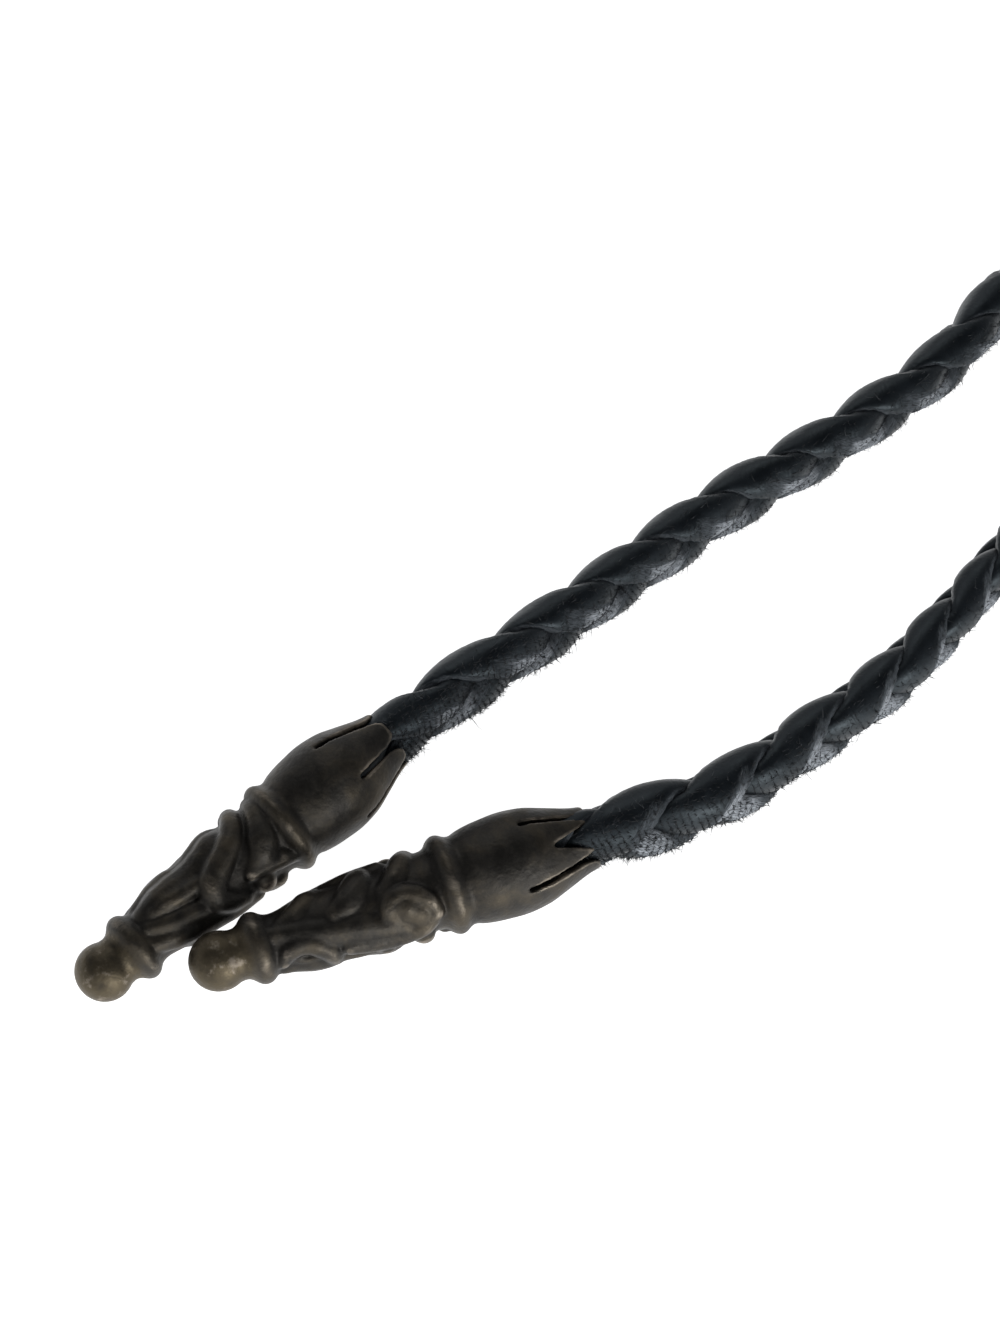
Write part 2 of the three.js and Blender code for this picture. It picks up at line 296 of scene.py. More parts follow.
def keep(mesh, name, values):
    """Keeps a number at each vertex, for the finish to read."""
    mesh.attributes.new(name, "FLOAT", "POINT").data.foreach_set("value", values.astype(np.float32))


def smooth_rows(rows, step, least=0.3):
    """A smooth line through rows of numbers, stepped in the first column. Shorter gaps count as least."""
    table = np.array(rows, float)
    knots = np.concatenate([[0], np.cumsum(np.maximum(np.abs(np.diff(table[:, 0])), least))])
    slopes = np.gradient(table, knots, axis=0)
    made = []
    for i in range(len(table) - 1):
        span = knots[i + 1] - knots[i]
        for t in np.arange(0, 1, min(1.0, step / span)):
            place = (2 * t**3 - 3 * t**2 + 1) * table[i] + (t**3 - 2 * t**2 + t) * span * slopes[i]
            place = place + (3 * t**2 - 2 * t**3) * table[i + 1] + (t**3 - t**2) * span * slopes[i + 1]
            made.append(place)
    return made + [table[-1]]


def ride_and_finish(obj, material, slot, *nodes):
    """Puts the finish on a piece, hangs it under the root, and hides its CAD nodes, if it has any."""
    obj.data.materials.clear()
    obj.data.materials.append(material)
    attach(obj, "root")
    if nodes:
        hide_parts(*nodes)


# ---------------------------------------------------------------- materials


class Wire:
    """One socket of a node tree. Arithmetic on wires adds the nodes that work it out."""

    def __init__(self, nodes, socket):
        self.nodes = nodes
        self.socket = socket

    def math(self, operation, *values):
        return self.nodes.node("ShaderNodeMath", {"operation": operation}, values)

    def __add__(self, other):
        return self.math("ADD", self, other)

    __radd__ = __add__

    def __mul__(self, other):
        return self.math("MULTIPLY", self, other)

    __rmul__ = __mul__

    def __sub__(self, other):
        return self.math("SUBTRACT", self, other)

    def __rsub__(self, other):
        return self.math("SUBTRACT", other, self)

    def between(self, low, high):
        """0 below low and 1 above high, eased in between."""
        values = {"Value": self, "From Min": low, "From Max": high}
        return self.nodes.node("ShaderNodeMapRange", {"interpolation_type": "SMOOTHSTEP"}, values)


class Nodes:
    """A node tree that nodes are added to."""

    def __init__(self, tree):
        self.tree = tree

    def node(self, kind, settings, values, output=0):
        """Adds a node: its settings first, then the value or wire of each socket, by name or in order."""
        made = self.tree.nodes.new(kind)
        for name, value in settings.items():
            if name == "stops":
                for element, (place, colour) in zip(made.color_ramp.elements, value):
                    element.position = place
                    element.color = (*colour, 1.0)
            else:
                setattr(made, name, value)
        pairs = values.items() if isinstance(values, dict) else enumerate(values)
        for key, value in pairs:
            self.feed(made.inputs[key], value)
        return Wire(self, made.outputs[output])

    def feed(self, socket, value):
        if isinstance(value, Wire):
            self.tree.links.new(value.socket, socket)
        elif socket.type == "RGBA":
            socket.default_value = (*value, 1.0)
        else:
            socket.default_value = value


class Paint(Nodes):
    """A material and the nodes that feed its Principled shader."""

    def __init__(self, name):
        self.material = bpy.data.materials.new(name)
        self.material.use_nodes = True
        super().__init__(self.material.node_tree)
        self.shader = self.tree.nodes["Principled BSDF"]

    def set(self, **sockets):
        """Feeds the shader, by its sockets' names with _ for a space."""
        for name, value in sockets.items():
            self.feed(self.shader.inputs[name.replace("_", " ")], value)

    def place(self):
        return self.node("ShaderNodeTexCoord", {}, {}, "Object")

    def attribute(self, name):
        return self.node("ShaderNodeAttribute", {"attribute_name": name}, {}, "Fac")

    def scaled(self, place, scale):
        return self.node("ShaderNodeMapping", {}, {"Vector": place, "Scale": scale})

    def noise(self, place, scale, detail, roughness, distortion=0.0):
        values = {"Vector": place, "Scale": scale, "Detail": detail}
        values |= {"Roughness": roughness, "Distortion": distortion}
        return self.node("ShaderNodeTexNoise", {}, values)

    def mix(self, factor, first, second):
        """Colour that goes from first to second with the factor."""
        return self.node("ShaderNodeMix", {"data_type": "RGBA"}, {0: factor, 6: first, 7: second}, 2)

    def blend(self, factor, first, second):
        """Number that goes from first to second with the factor."""
        return self.node("ShaderNodeMix", {"data_type": "FLOAT"}, {0: factor, 2: first, 3: second})

    def bump(self, height, distance, strength):
        values = {"Height": height, "Distance": distance, "Strength": strength}
        return self.node("ShaderNodeBump", {}, values)


def tinted(colour, tint):
    return tuple(c * k for c, k in zip(colour, tint))


def leather_paint(colour):
    """Black waxed leather: a satin grain side, rough grey fibre on cut edges, and painted pale highlights.
    """
    paint = Paint("black_leather")
    flow = paint.node("ShaderNodeUVMap", {"uv_map": "lace"}, {})
    place = paint.place()
    # Raw cut edges up to 0.8, and painted highlights that reach 1.6.
    raw_and_highlight = paint.attribute("raw_and_highlight")
    cloud = paint.noise(place, 420.0, 4.0, 0.6)
    fibre = paint.noise(paint.scaled(flow, (9.0, 1.2, 1.0)), 1.6, 6.0, 0.7)
    grain = paint.node("ShaderNodeTexVoronoi", {"feature": "SMOOTH_F1"}, {"Vector": place, "Scale": 3200.0})
    wrinkle = paint.noise(paint.scaled(flow, (0.8, 3.0, 1.0)), 1.3, 4.0, 0.55)
    # This mask holds both the rough cut edges and the painted highlights, and roughens both.
    rough_and_highlight = (raw_and_highlight + (fibre - 0.5) * 0.9 + (cloud - 0.5) * 0.7).between(0.35, 0.7)
    body = paint.mix(cloud.between(0.35, 0.7), tinted(colour, (0.55, 0.55, 0.55)), colour)
    # Raw fibre's grey at the cut edges, going to a pale painted highlight where the share passes 1.
    raw_grey_to_highlight = paint.mix(raw_and_highlight.between(0.8, 1.2), (0.075, 0.083, 0.092), (0.37, 0.395, 0.425))
    frayed_and_highlight = paint.mix(fibre.between(0.3, 0.65), (0.012, 0.014, 0.016), raw_grey_to_highlight)
    sheen = paint.blend(cloud.between(0.3, 0.75), 0.36, 0.5)
    height = grain * 0.25 + wrinkle * 0.5 + rough_and_highlight * fibre * 1.6
    paint.set(
        Base_Color=paint.mix(rough_and_highlight, body, frayed_and_highlight),
        Roughness=paint.blend(rough_and_highlight, sheen, 0.9),
        Normal=paint.bump(height, 0.00012, 0.55),
        Specular_IOR_Level=0.42,
        Specular_Tint=(0.78, 0.92, 1.0),
    )
    return paint.material


def fibre_paint(colour):
    """Loose hairs of black leather, some of them dusty grey."""
    paint = Paint("leather_fibre")
    tone = paint.attribute("tone")
    paint.set(Base_Color=paint.mix(tone, (0.006, 0.008, 0.009), colour), Roughness=0.75)
    return paint.material


def silver_paint(dark, worn):
    """Oxidised cast silver: nearly black in the hollows, paler and browner on the crests and the ball."""
    paint = Paint("oxidised_silver")
    place = paint.place()
    crest = paint.attribute("crest")
    ball = paint.attribute("ball")
    cloud = paint.noise(place, 260.0, 5.0, 0.62, 0.4)
    patch = paint.noise(place, 620.0, 4.0, 0.6)
    speck = paint.noise(place, 2600.0, 2.0, 0.5)
    streak = paint.noise(place, 180.0, 6.0, 0.7, 1.2)
    uneven = (cloud - 0.5) * 1.5 + (patch - 0.5) * 0.9
    rubbed = (crest * 0.55 + uneven + ball * 0.35 + 0.1).between(0.1, 0.95)
    warm = paint.mix(cloud.between(0.35, 0.65), worn, tinted(worn, (1.06, 0.98, 0.84)))
    hue = paint.mix(ball, warm, tinted(worn, (1.3, 1.16, 0.88)))
    tone = paint.mix(rubbed, dark, hue)
    flecks = (patch - 0.5) * ball * 5.0 + (streak - 0.5) * 2.4
    bright = (crest.between(0.6, 0.95) * 0.7 + flecks).between(0.35, 1.15)
    height = cloud * 0.5 + patch * 0.8 + speck * 0.25
    paint.set(
        Base_Color=paint.mix(bright, tone, (0.26, 0.225, 0.18)),
        Metallic=paint.blend(rubbed, 0.75, 0.95),
        Roughness=paint.blend(patch.between(0.3, 0.75), 0.42, 0.6),
        Normal=paint.bump(height, 0.0003, 0.4),
    )
    return paint.material


# ---------------------------------------------------------------- caps


def on_cap(along, round_degrees, reach):
    """A point of the cap's pattern, whose axis is Z here, in millimetres."""
    angle = math.radians(round_degrees)
    return Vector((reach * math.sin(angle), -reach * math.cos(angle), along))


def grow(distance, scale):
    """Extrudes the selected face along the axis, and scales it."""
    bpy.ops.mesh.extrude_region_move(TRANSFORM_OT_translate={"value": (0, 0, distance)})
    bpy.ops.transform.resize(value=scale, center_override=(0, 0, 0))


def close_and_leave():
    """Turns all faces outward and leaves edit mode."""
    bpy.ops.mesh.select_all(action="SELECT")
    bpy.ops.mesh.normals_make_consistent(inside=False)
    bpy.ops.object.mode_set(mode="OBJECT")


def turned_body():
    """Extrudes a disc along the axis, scaled to each radius, out to the mouth and back down the socket."""
    rows = smooth_rows(BODY_PROFILE, step=0.35) + smooth_rows(SOCKET_PROFILE, step=0.6)
    clear_selection()
    bpy.ops.mesh.primitive_circle_add(
        vertices=72, radius=rows[0][1], fill_type="NGON", location=(0, 0, 0), rotation=(0, 0, 0)
    )
    body = bpy.context.object
    body.data.transform(Matrix.Translation((0, 0, rows[0][0])))
    bpy.ops.object.mode_set(mode="EDIT")
    bpy.ops.mesh.select_all(action="SELECT")
    for before, after in zip(rows, rows[1:]):
        scale = after[1] / before[1]
        grow(after[0] - before[0], (scale, scale, 1))
    close_and_leave()
    return body


def bead(place, radius, shape=Matrix.Identity(4)):
    """A ball of metal at a place of the pattern, stretched and turned by the shape."""
    clear_selection()
    bpy.ops.mesh.primitive_uv_sphere_add(segments=40, ring_count=24, radius=radius)
    made = bpy.context.object
    made.data.transform(Matrix.Translation(place) @ shape)
    return made


def sunk_bead(along, turn, crest, half, share=1.0):
    """A bead that is sunk so that its top is at the crest."""
    return bead(on_cap(along, turn, crest - half), half * share)


def bar(rows):
    """A fold of metal: a round bar through the rows, sunk so that its crest is where they say."""
    curve = bpy.data.curves.new("fold", "CURVE")
    curve.dimensions = "3D"
    curve.resolution_u = 10
    curve.bevel_depth = 1.0
    curve.bevel_resolution = 5
    curve.use_fill_caps = True
    spline = curve.splines.new("BEZIER")
    spline.bezier_points.add(len(rows) - 1)
    for point, (along, turn, crest, half) in zip(spline.bezier_points, rows):
        point.co = on_cap(along, turn, crest - half)
        point.handle_left_type = point.handle_right_type = "AUTO"
        point.radius = half
    pick(add("fold", curve))
    bpy.ops.object.convert(target="MESH")
    made = bpy.context.object
    ends = [sunk_bead(*row, share=0.98) for row in (rows[0], rows[-1])]
    pick(made, *ends)
    bpy.ops.object.join()
    return made


def slot_cutter(turn, root, width):
    """The solid that cuts one slot: a narrow plane at the root, extruded past the mouth and widened."""
    clear_selection()
    bpy.ops.mesh.primitive_plane_add(size=1, location=(0, 0, 0), rotation=(0, 0, 0))
    cutter = bpy.context.object
    start = Matrix.Translation((0, -WALL_MIDDLE, root))
    cutter.data.transform(start @ Matrix.Diagonal((SLOT_ROOT_WIDTH, SLOT_THROUGH, 1, 1)))
    bpy.ops.object.mode_set(mode="EDIT")
    bpy.ops.mesh.select_all(action="SELECT")
    rows = [(root, SLOT_ROOT_WIDTH), (root + SLOT_NECK[0], SLOT_NECK[1])]
    rows += [(CAP_LENGTH + past, width + wider) for past, wider in SLOT_FLARE]
    for before, after in zip(rows, rows[1:]):
        grow(after[0] - before[0], (after[1] / before[1], 1, 1))
    close_and_leave()
    cutter.data.transform(Matrix.Rotation(math.radians(turn), 4, "Z"))
    return cutter


def hollow_cutter(along, turn, height, half_length, half_width):
    """The long bead that presses one hollow."""
    face = Matrix.Rotation(math.radians(turn), 4, "Z")
    shape = face @ Matrix.Diagonal((half_width, HOLLOW_HALF_DEPTH, half_length, 1))
    return bead(on_cap(along, turn, height), 1.0, shape)


def cut(body, cutters):
    for cutter in cutters:
        modify(body, "BOOLEAN", object=cutter, operation="DIFFERENCE", solver="EXACT")
        bpy.data.objects.remove(cutter)


def crest_and_ball(cap):
    """Keeps how far each place stands out from its surroundings, and whether it is on the ball."""
    mesh = cap.data
    place = read(mesh.vertices, "co", 3)
    normal = read(mesh.vertices, "normal", 3)
    first, second = read(mesh.edges, "vertices", 2, int).T
    share = np.bincount(first, minlength=len(place)) + np.bincount(second, minlength=len(place))

    def spread(values, times):
        """Gives each vertex the mean of its neighbours, this many times over."""
        for _ in range(times):
            total = np.zeros_like(values)
            np.add.at(total, first, values[second])
            np.add.at(total, second, values[first])
            values = total / share[:, None]
        return values

    stands_out = np.einsum("ij,ij->i", place - spread(place, 14), normal)[:, None]
    crest_height, ball_edge = 0.16, 0.6
    keep(mesh, "crest", np.clip(0.5 + spread(stands_out, 3)[:, 0] / crest_height, 0, 1))
    keep(mesh, "ball", np.clip((BALL_FINISH_END - place[:, 2]) / ball_edge, 0, 1))


def cast_cap(name, voxel):
    """One cap in the pattern's own place, in millimetres."""
    body = turned_body()
    cut(body, [slot_cutter(*row) for row in SLOTS] + [hollow_cutter(*row) for row in HOLLOWS.values()])
    parts = [bead(Vector((0, 0, BALL_RADIUS)), BALL_RADIUS)]
    parts += [bar(rows) for rows in FOLDS.values()]
    parts += [sunk_bead(*row) for row in GRAINS.values()]
    pick(body, *parts)
    bpy.ops.object.join()
    body = bpy.context.object
    body.name = body.data.name = name
    modify(body, "REMESH", mode="VOXEL", voxel_size=voxel, adaptivity=0.0)
    modify(body, "SMOOTH", factor=0.5, iterations=14)
    crest_and_ball(body)
    return body


def lay_cap(cap, seat):
    """Takes a cap from the pattern's place to where it lies, in metres."""
    matrix = (
        Matrix.Translation(seat["mouth"])
        @ Matrix.Rotation(math.radians(seat["heading"] - 90), 4, "Z")
        @ Matrix.Rotation(math.radians(seat["rise"]), 4, "X")
        @ Matrix.Rotation(math.radians(seat["roll"]), 4, "Y")
        @ Matrix.Diagonal((MM, MM * seat["stretch"], MM, 1))
        @ Matrix.Translation((0, -CAP_LENGTH, 0))
        @ Matrix.Rotation(math.radians(-90), 4, "X")
    )
    cap.data.transform(matrix)
    cap.data.update()


# ---------------------------------------------------------------- plait


def inside_cap(seat, depth):
    """The place on a cap's axis that is this deep inside its mouth."""
    heading = Matrix.Rotation(math.radians(seat["heading"] - 90), 3, "Z")
    rise = Matrix.Rotation(math.radians(seat["rise"]), 3, "X")
    return Vector(seat["mouth"]) - (heading @ rise @ Vector((0, 1, 0))) * depth


def route_points():
    """The whole centre line, with its ends inside the caps."""
    start = [inside_cap(UPPER_CAP, CORD_IN_CAP), inside_cap(UPPER_CAP, 0)]
    end = [inside_cap(LOWER_CAP, 0), inside_cap(LOWER_CAP, CORD_IN_CAP)]
    return np.array([list(p) for p in [*start, *ROUTE, *end]], float)


def centre_line(spacing):
    """Evenly spaced places along a centripetal curve through the route's points, kept off the table."""
    points = route_points()
    padded = np.vstack([2 * points[0] - points[1], points, 2 * points[-1] - points[-2]])
    t = np.linspace(0, 1, 60, endpoint=False)[:, None]
    fine = []
    for i in range(len(points) - 1):
        p = padded[i : i + 4]
        d = [max(np.linalg.norm(p[k + 1] - p[k]) ** 0.5, 1e-4) for k in range(3)]
        first = ((p[1] - p[0]) / d[0] - (p[2] - p[0]) / (d[0] + d[1]) + (p[2] - p[1]) / d[1]) * d[1]
        last = ((p[2] - p[1]) / d[1] - (p[3] - p[1]) / (d[1] + d[2]) + (p[3] - p[2]) / d[2]) * d[1]
        square = 3 * (p[2] - p[1]) - 2 * first - last
        cube = 2 * (p[1] - p[2]) + first + last
        fine.append(p[1] + first * t + square * t**2 + cube * t**3)
    fine = np.vstack([*fine, points[-1:]])
    fine[:, 2] = np.maximum(fine[:, 2], CORD_HALF)
    travelled = np.concatenate([[0], np.cumsum(np.linalg.norm(np.diff(fine, axis=0), axis=1))])
    count = int(round(travelled[-1] / spacing)) + 1
    even = np.linspace(0, travelled[-1], count)
    return even, np.column_stack([np.interp(even, travelled, fine[:, k]) for k in range(3)])


def unit(vectors):
    return vectors / np.linalg.norm(vectors, axis=1)[:, None]


def wander(along, rng, wavelength):
    """A slow smooth random line between -1 and 1."""
    knots = np.arange(-1, along[-1] / wavelength + 3)
    values = rng.uniform(-1, 1, len(knots))
    t = along / wavelength
    left = np.floor(t).astype(int)
    ease = t - left
    ease = ease * ease * (3 - 2 * ease)
    return values[left + 1] * (1 - ease) + values[left + 2] * ease


def window(turn, middle, half):
    """1 where the turn is at the middle, and 0 from half a window away. Only the turn is in radians."""
    away = (turn - math.radians(middle) + math.pi) % (2 * math.pi) - math.pi
    return np.clip(1 - np.abs(away) / math.radians(half), 0, 1)


# One lace: its centre line, its side and its flesh side's outward direction, its half width and thickness,
# and how sharply it bows across its width. Each has a row for every step along the plait.
Lace = namedtuple("Lace", "centre side outward half thick bow")


class Plait:
    """Where the laces run: each comes over the plait's edges in turn and dives under at its middle."""

    def __init__(self, settings):
        self.settings = settings
        self.along, self.centre = centre_line(ROW_STEP)
        self.total = self.along[-1]
        self.near = np.minimum(self.along, self.total - self.along)
        self.forward = unit(np.gradient(self.centre, axis=0))
        self.right = unit(np.cross(self.forward, (0.0, 0.0, 1.0)))
        self.up = np.cross(self.right, self.forward)
        from_upper = self.along - CORD_IN_CAP
        from_lower = self.total - self.along - CORD_IN_CAP
        upper = np.interp(from_upper / MM, *zip(*UPPER_LOBES))
        lower = np.interp(from_lower / MM, *zip(*LOWER_LOBES))
        self.phase = self.lobes(3 * MM * np.where(from_upper < from_lower, upper, lower))
        share = self.along / self.total
        self.face = np.radians(settings.upper_face + (settings.lower_face - settings.upper_face) * share)
        self.lean = np.radians(settings.upper_lean + (settings.lower_lean - settings.upper_lean) * share)
        # The laces start to draw together 2.5 mm before a cap's mouth, and have done so 4.6 mm inside it.
        self.close = np.clip(0.35 - (self.near - CORD_IN_CAP) / 0.007, 0, 1)
        self.girth = np.interp(from_lower / MM, *zip(*LOWER_GIRTH))

    def lobes(self, pitch):
        """The first lace's turn at each step. The middle of the cord takes up what the ends leave over."""
        start, end = math.radians(self.settings.upper_phase), math.radians(self.settings.lower_phase)
        steps = 0.5 * (1 / pitch[1:] + 1 / pitch[:-1]) * np.diff(self.along)
        phase = 2 * math.pi * np.concatenate([[0], np.cumsum(steps)])
        missing = (end - start - phase[-1]) % (2 * math.pi / 3)
        hidden = np.clip((self.along - LOBES_KEPT) / (self.total - 2 * LOBES_KEPT), 0, 1)
        return start + phase + missing * hidden

    def turn(self, number):
        return self.phase + 2 * math.pi * number / 3

    def outward(self, angle):
        """The direction at an angle from the top, towards the right of travel."""
        return self.up * np.cos(angle)[:, None] + self.right * np.sin(angle)[:, None]

    def lace(self, number):
        """The run of one lace. Its swing crosses the plait once while its depth goes in and out twice."""
        s = self.settings
        rng = np.random.default_rng(40 + number)

        def varied(size, amount, wavelength, drawn_in):
            """A size that wanders a little along the lace, and shrinks where the laces close into a cap."""
            change = 1 + amount * wander(self.along, rng, wavelength)
            return size * change * (1 - drawn_in * self.close) * self.girth

        turn = self.turn(number)
        swing = varied(s.swing, 0.05, 0.011, 0.3)
        depth = varied(s.depth, 0.05, 0.009, 0.3)
        across = self.outward(self.face + math.pi / 2)
        front = self.outward(self.face)
        x = swing * np.sin(turn)
        z = -depth * np.sin(2 * turn)
        centre = self.centre + across * x[:, None] + front * z[:, None]
        facing = math.pi / 2 * (1 + np.cos(turn - self.lean))
        outward = front * np.cos(facing)[:, None] + across * np.sin(facing)[:, None]
        forward = unit(np.gradient(centre, axis=0))
        side = unit(np.cross(forward, outward))
        half = varied(s.lace_width / 2, 0.05, 0.006, 0.2)
        thick = varied(s.lace_thickness, 0.06, 0.005, 0.2)
        bow = np.clip(1.6 * np.sin(turn), -1, 1) / s.bow_radius
        return Lace(centre, side, np.cross(side, forward), half, thick, bow)


def on_lace(lace, rows, u, v):
    """Places on a lace: u along its bowed width and v through its thickness, both in metres."""
    bow = np.where(np.abs(lace.bow[rows]) < 1.0, 1.0, lace.bow[rows])
    angle = bow * u
    across = np.sin(angle) / bow + v * np.sin(angle)
    out = (np.cos(angle) - 1) / bow + v * np.cos(angle)
    return lace.centre[rows] + lace.side[rows] * across[..., None] + lace.outward[rows] * out[..., None]


def crown(share):
    """How thick a lace is at a share of its half width, against its middle."""
    return 1 - 0.55 * abs(share) ** 2.6


def lace_section():
    """The lace's outline as shares of its half width and half thickness, with how raw each place is."""
    top = [(u, crown(u), 0.0) for u in np.linspace(-0.84, 0.84, 9)]
    right = [(0.95, 0.42, 0.8), (1.0, 0.15, 1.0), (1.0, -0.15, 1.0), (0.95, -0.42, 0.8)]
    bottom = [(-u, -v, 0.0) for u, v, _ in top]
    left = [(-u, -v, raw_and_highlight) for u, v, raw_and_highlight in right]
    return np.array([*top, *right, *bottom, *left])


def tube_faces(count, ring):
    """The outward faces of a closed tube: so many rings of so many places, with a face on each end."""
    first = np.arange(count - 1)[:, None] * ring
    column = np.arange(ring)[None, :]
    after = (column + 1) % ring
    faces = np.stack([first + column, first + after, first + ring + after, first + ring + column], -1)
    ends = [list(range(ring))[::-1], list(range((count - 1) * ring, count * ring))]
    return faces.reshape(-1, 4).tolist() + ends


def rawness_and_highlight(plait, number, section):
    """Raw cut edges, and painted highlights on the grain at the front and on the flesh at the side."""
    turn = plait.turn(number)[:, None]
    share, grain = section[None, :, 0], section[None, :, 1] < 0
    edge = section[None, :, 2] * np.where(share < 0, 0.8, 0.25)
    # Painted highlights, in the raw fibre's grey: where the grain side crosses the plait's front and where
    # the flesh side turns to its side.
    front_highlight = window(turn, 324, 60) * np.clip((0.2 - share) / 0.4, 0, 1) * grain
    side_highlight = window(turn, 104, 55) * np.clip((-share - 0.3) / 0.4, 0, 1) * ~grain
    # How strong the painted highlights are along the cord, weaker near the caps as painted shade.
    highlight_strength = np.interp(plait.near, *zip(*HIGHLIGHT_ALONG))[:, None]
    return np.maximum(edge, highlight_strength * np.maximum(front_highlight, side_highlight)).ravel()


def weave_lace(plait, number):
    """One lace as a closed tube, with its raw edges and painted highlights and a map of millimetres round
    it and along it.
    """
    lace = plait.lace(number)
    rng = np.random.default_rng(80 + number)
    section = lace_section()
    count, ring = len(plait.along), len(section)
    ragged = 1 + 0.05 * rng.uniform(-1, 1, (count, ring)) * (np.abs(section[None, :, 0]) > 0.9)
    u = section[None, :, 0] * lace.half[:, None] * ragged
    v = section[None, :, 1] * lace.thick[:, None] / 2
    rows = np.repeat(np.arange(count)[:, None], ring, axis=1)
    place = on_lace(lace, rows, u, v)
    place[..., 2] = np.maximum(place[..., 2], LACE_LIFT)
    made = add_mesh(f"lace_{number + 1}", place.reshape(-1, 3), tube_faces(count, ring))
    mesh = made.data
    # Raw cut edges and painted highlights, for the finish to read.
    keep(mesh, "raw_and_highlight", rawness_and_highlight(plait, number, section))
    corner = read(mesh.loops, "vertex_index", 1, int)[:, 0]
    round_it = np.concatenate([[0], np.cumsum(np.hypot(np.diff(u[0]), np.diff(v[0])))]) / MM
    along_it = plait.along / MM + PATTERN_SHIFT * number
    uv = np.column_stack([round_it[corner % ring], along_it[corner // ring]])
    mesh.uv_layers.new(name="lace").data.foreach_set("uv", uv.astype(np.float32).ravel())
    mesh.shade_smooth()
    mesh.update()
    return made


def hairs(roots, ways, lengths, widths, rng):
    """Bent hairs of three sides, each with two rings and a tip, from its root along its way."""
    lean = rng.normal(0, 1, roots.shape)
    curl = unit(np.cross(ways, lean))
    aside = np.cross(ways, curl)
    bend = rng.uniform(-0.5, 0.5, len(roots))
    corners = []
    for share, sides in ((-0.15, 3), (0.5, 3), (1.0, 1)):
        middle = roots + ways * (lengths * share)[:, None] + curl * (lengths * bend * share**2)[:, None]
        reach = (widths * (1 - share))[:, None]
        for k in range(sides):
            turn = 2 * math.pi * k / 3
            corners.append(middle + (curl * math.cos(turn) + aside * math.sin(turn)) * reach)
    points = np.stack(corners, 1).reshape(-1, 3)
    one = [(2, 1, 0), (3, 4, 6), (4, 5, 6), (5, 3, 6)]
    one += [(k, (k + 1) % 3, 3 + (k + 1) % 3, 3 + k) for k in range(3)]
    first = range(0, len(points), HAIR_CORNERS)
    return points, [tuple(start + corner for corner in face) for start in first for face in one]


def hair_roots(plait, number, amount, weight, rng):
    """Roots and directions of hairs on one lace, where it faces out of the plait and towards its front."""
    lace = plait.lace(number)
    rows = rng.choice(len(plait.along), 4 * amount, p=weight / weight.sum())
    face = rng.choice((-1, 1), len(rows))
    share = rng.uniform(-0.95, 0.95, len(rows))
    u = share * lace.half[rows]
    v = face * lace.thick[rows] / 2 * crown(share)
    roots = on_lace(lace, rows, u, v)
    angle = (lace.bow[rows] * u)[:, None]
    normal = (lace.outward[rows] * np.cos(angle) + lace.side[rows] * np.sin(angle)) * face[:, None]
    away = unit(roots - plait.centre[rows])
    front = plait.outward(plait.face)[rows]
    shows = np.einsum("ij,ij->i", away, normal) > 0.6
    shows &= np.einsum("ij,ij->i", away, front) > rng.uniform(-0.2, 0.9, len(rows))
    kept = np.flatnonzero(shows)[: amount // 3]
    ways = normal * rng.uniform(0.1, 0.9, len(rows))[:, None] + rng.normal(0, 0.25, roots.shape)
    ways += plait.forward[rows] * rng.normal(0, 0.8, len(rows))[:, None]
    return roots[kept], unit(ways[kept])


def fray(plait, amount):
    """Short hairs that stand out of the laces, thickest near the caps."""
    rng = np.random.default_rng(7)
    weight = 0.04 + 1.0 * (plait.near < 0.11) + 5.0 * np.exp(-(plait.near / 0.022) ** 2)
    weight[plait.near < 0.9 * CORD_IN_CAP] = 0
    parts = [hair_roots(plait, number, amount, weight, rng) for number in range(3)]
    roots, ways = (np.vstack(part) for part in zip(*parts))
    lengths = rng.gamma(2.5, 0.2, len(roots)) * MM
    widths = rng.uniform(0.018, 0.042, len(roots)) * MM
    points, faces = hairs(roots, ways, lengths, widths, rng)
    points[:, 2] = np.maximum(points[:, 2], HAIR_LIFT)
    fibres = add_mesh("loose_fibres", points, faces)
    keep(fibres.data, "tone", np.repeat(rng.uniform(0, 1, len(roots)) ** 1.5, HAIR_CORNERS))
    fibres.data.update()
    return fibres


# ---------------------------------------------------------------- stage


def aim_camera(scene, distance, lens):
    """Puts the camera at its distance from the caps, looking down at them."""
    camera = bpy.data.cameras.new("camera")
    camera.lens = lens
    camera.clip_start = 0.01
    holder = add("camera", camera)
    elevation, azimuth = math.radians(ELEVATION), math.radians(AZIMUTH)
    level = math.cos(elevation)
    back = Vector((level * math.sin(azimuth), -level * math.cos(azimuth), math.sin(elevation)))
    holder.location = Vector(LOOK_AT) + back * distance
    holder.rotation_euler = (math.pi / 2 - elevation, 0, azimuth)
    scene.camera = holder


def lay_table():
    """A white table that is wide enough to have no edge in view."""
    clear_selection()
    bpy.ops.mesh.primitive_grid_add(x_subdivisions=8, y_subdivisions=8, size=TABLE_SIZE)
    table = bpy.context.object
    table.name = table.data.name = "white_table"
    paint = Paint("white_table")
    paint.set(Base_Color=(0.9, 0.9, 0.9), Roughness=0.6, Emission_Color=(1, 1, 1), Emission_Strength=1.0)
    table.data.materials.append(paint.material)


